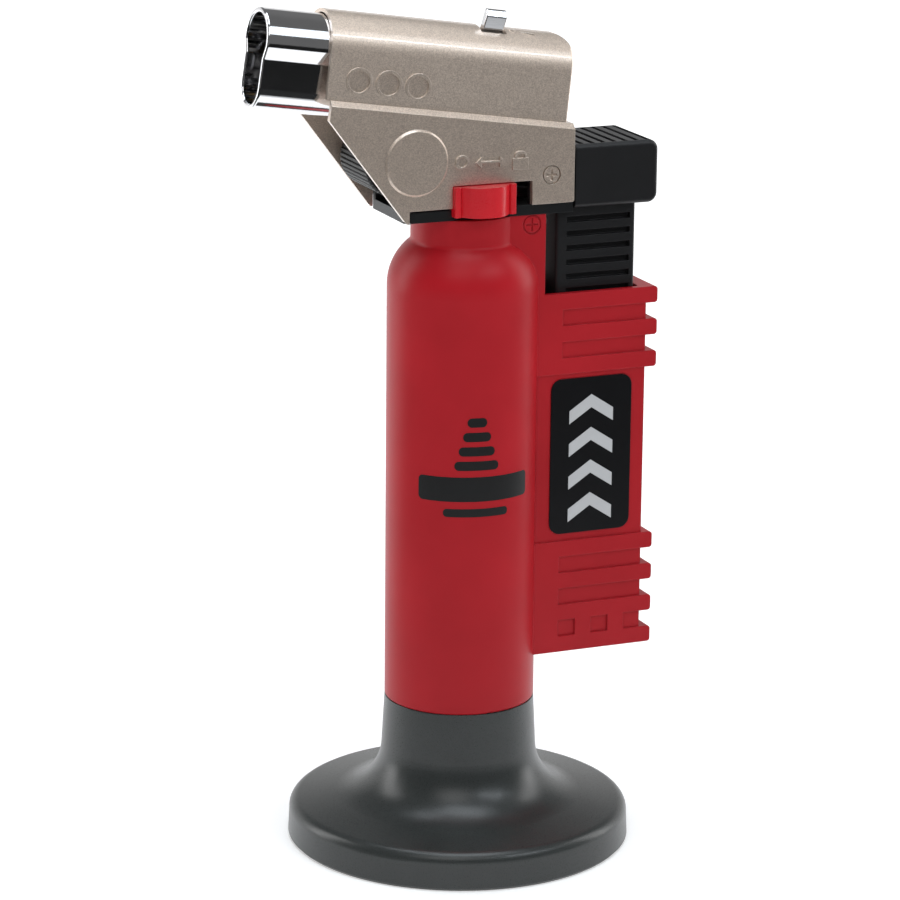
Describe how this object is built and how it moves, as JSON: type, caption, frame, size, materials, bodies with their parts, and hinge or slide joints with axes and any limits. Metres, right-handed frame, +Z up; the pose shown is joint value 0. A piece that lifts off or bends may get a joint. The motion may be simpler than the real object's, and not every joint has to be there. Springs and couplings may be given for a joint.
{
  "type": "lampwork torch",
  "caption": "Upright refillable gas torch with a tilted burner head, thumb trigger, sliding lock, ribbed handle and a lift-off flared foot.",
  "frame": {"origin": "on the fuel tank's axis, at the plane the foot stands on", "axes": "+Z up along the tank; the nozzle points along -X; +X is the trigger and handle side; the lock slider is on the -Y side"},
  "size_m": [0.0805, 0.0666, 0.1648],
  "materials": {
    "stand_black": "satin moulded",
    "body_red": "satin coated",
    "grip_black": "fine matte grain",
    "chassis_black": "satin",
    "head_champagne": "metallic lacquer",
    "nozzle_chrome": "mirror",
    "lock_red": "semi gloss",
    "brass": "turned",
    "steel": "brushed",
    "spring_steel": "drawn wire",
    "seal_rubber": "matte",
    "hose_black": "satin",
    "pickup_white": "matte",
    "ceramic_white": "glazed",
    "lead_insulation": "insulated wire",
    "label_black": "satin film"
  },
  "bodies": {
    "stand": {"stand_base": "stand_black"},
    "torch": {"tank_body": "body_red", "tank_bottom_cap": "body_red", "fill_valve_body": "brass", "fill_valve_seal": "seal_rubber", "fill_valve_spring": "spring_steel", "gas_valve_body": "brass", "gas_valve_seal": "seal_rubber", "gas_valve_spring": "spring_steel", "fuel_pickup_tube": "pickup_white", "chassis": "chassis_black", "head_frame": "head_champagne", "barrel_cover": "head_champagne", "nozzle_guard": "nozzle_chrome", "burner_tube": "steel", "flame_holder": "brass", "gas_jet": "brass", "burner_bracket": "steel", "dial_axle": "steel", "head_screws": "head_champagne", "gas_hose": "hose_black", "ignition_lead": "lead_insulation", "ground_strip": "steel", "electrode_insulator": "ceramic_white", "electrode": "steel", "piezo_body": "grip_black", "trigger_spring": "spring_steel", "rocker_pin": "steel", "lock_spring": "spring_steel", "side_label": "label_black"},
    "trigger": {"trigger": "grip_black", "piezo_plunger": "grip_black"},
    "lock": {"lock_slider": "lock_red"},
    "air_ring": {"air_sleeve": "steel", "air_lever": "nozzle_chrome"},
    "dial": {"gas_dial": "grip_black"},
    "rocker": {"valve_rocker": "steel"},
    "valve_stem": {"gas_valve_stem": "brass"},
    "fill_stem": {"fill_valve_stem": "brass"}
  },
  "joints": [
    {"name": "body_lift", "type": "slide", "parent": "stand", "child": "torch", "axis": [0, 0, 1], "range_m": [0, 0.03]},
    {"name": "trigger_press", "type": "slide", "parent": "torch", "child": "trigger", "axis": [0, 0, -1], "range_m": [0, 0.005], "stiffness_N_per_m": 400, "springref_m": -0.002, "deforming": ["trigger_spring"]},
    {"name": "rocker_turn", "type": "hinge", "parent": "torch", "child": "rocker", "pos_m": [0.0029, 0, 0.1279], "axis": [0, 1, 0], "range_deg": [0, 26]},
    {"name": "valve_lift", "type": "slide", "parent": "torch", "child": "valve_stem", "axis": [0, 0, 1], "range_m": [0, 0.0016], "deforming": ["gas_valve_spring"]},
    {"name": "lock_slide", "type": "slide", "parent": "torch", "child": "lock", "axis": [1, 0, 0], "range_m": [0, 0.0037]},
    {"name": "air_turn", "type": "hinge", "parent": "torch", "child": "air_ring", "pos_m": [0.00127, 0, 0.15239], "axis": [-0.9892, 0, 0.1468], "range_deg": [0, 34]},
    {"name": "dial_turn", "type": "hinge", "parent": "torch", "child": "dial", "pos_m": [-0.0164, 0, 0.1348], "axis": [0, 1, 0], "range_deg": [-140, 140]},
    {"name": "fill_press", "type": "slide", "parent": "torch", "child": "fill_stem", "axis": [0, 0, 1], "range_m": [0, 0.0012], "stiffness_N_per_m": 300, "springref_m": -0.002, "deforming": ["fill_valve_spring"]}
  ],
  "couplings": [
    {"joint": "rocker_turn", "follows": "trigger_press", "rad_per_m": 83.078},
    {"joint": "valve_lift", "follows": "trigger_press", "ratio": 0.294}
  ]
}
